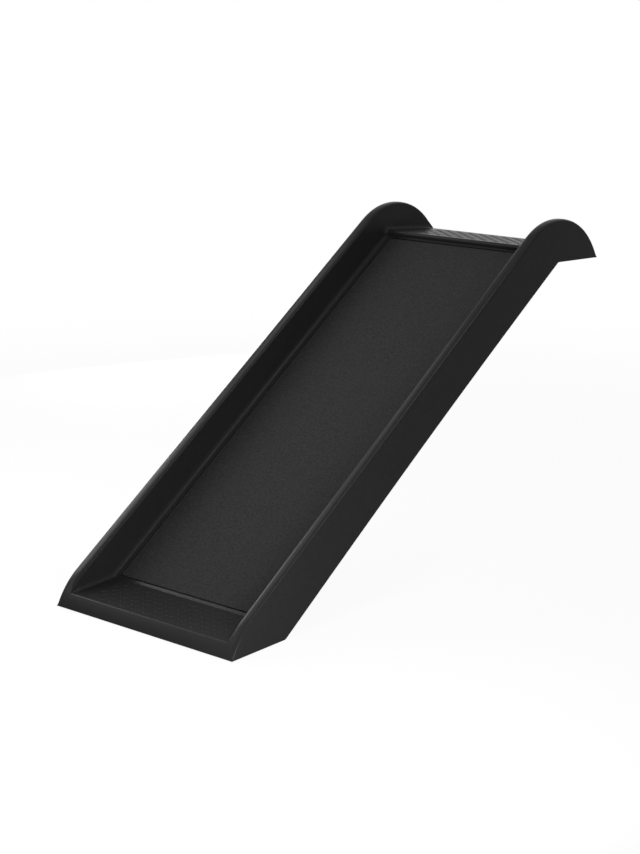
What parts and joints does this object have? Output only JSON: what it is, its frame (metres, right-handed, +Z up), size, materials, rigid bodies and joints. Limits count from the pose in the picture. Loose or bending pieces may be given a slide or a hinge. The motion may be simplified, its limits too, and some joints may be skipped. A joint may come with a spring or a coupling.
{
  "type": "dog ramp",
  "caption": "One-piece moulded dog ramp with high side walls, a gritty tread mat set in the deck, a flat foot and a short level lip that rests on a sofa or a car's boot.",
  "frame": {"origin": "on the floor, midway across the ramp and midway between the foot's front edge and the lip's far edge", "axes": "+Z up, +Y up the ramp from foot to lip, +X to the right of someone who walks up it"},
  "size_m": [0.36, 0.9368, 0.5409],
  "materials": {
    "moulded_plastic": "black, fine-grained satin moulding",
    "gritty_tread": "charcoal black, gritty like sandpaper, no shine",
    "pad_rubber": "matt black"
  },
  "bodies": {
    "root": {"ramp_shell": "moulded_plastic", "tread_mat": "gritty_tread", "foot_pad_front_left": "pad_rubber", "foot_pad_front_right": "pad_rubber", "foot_pad_rear_left": "pad_rubber", "foot_pad_rear_right": "pad_rubber", "lip_pad_inner_left": "pad_rubber", "lip_pad_inner_right": "pad_rubber", "lip_pad_outer_left": "pad_rubber", "lip_pad_outer_right": "pad_rubber"}
  },
  "joints": []
}
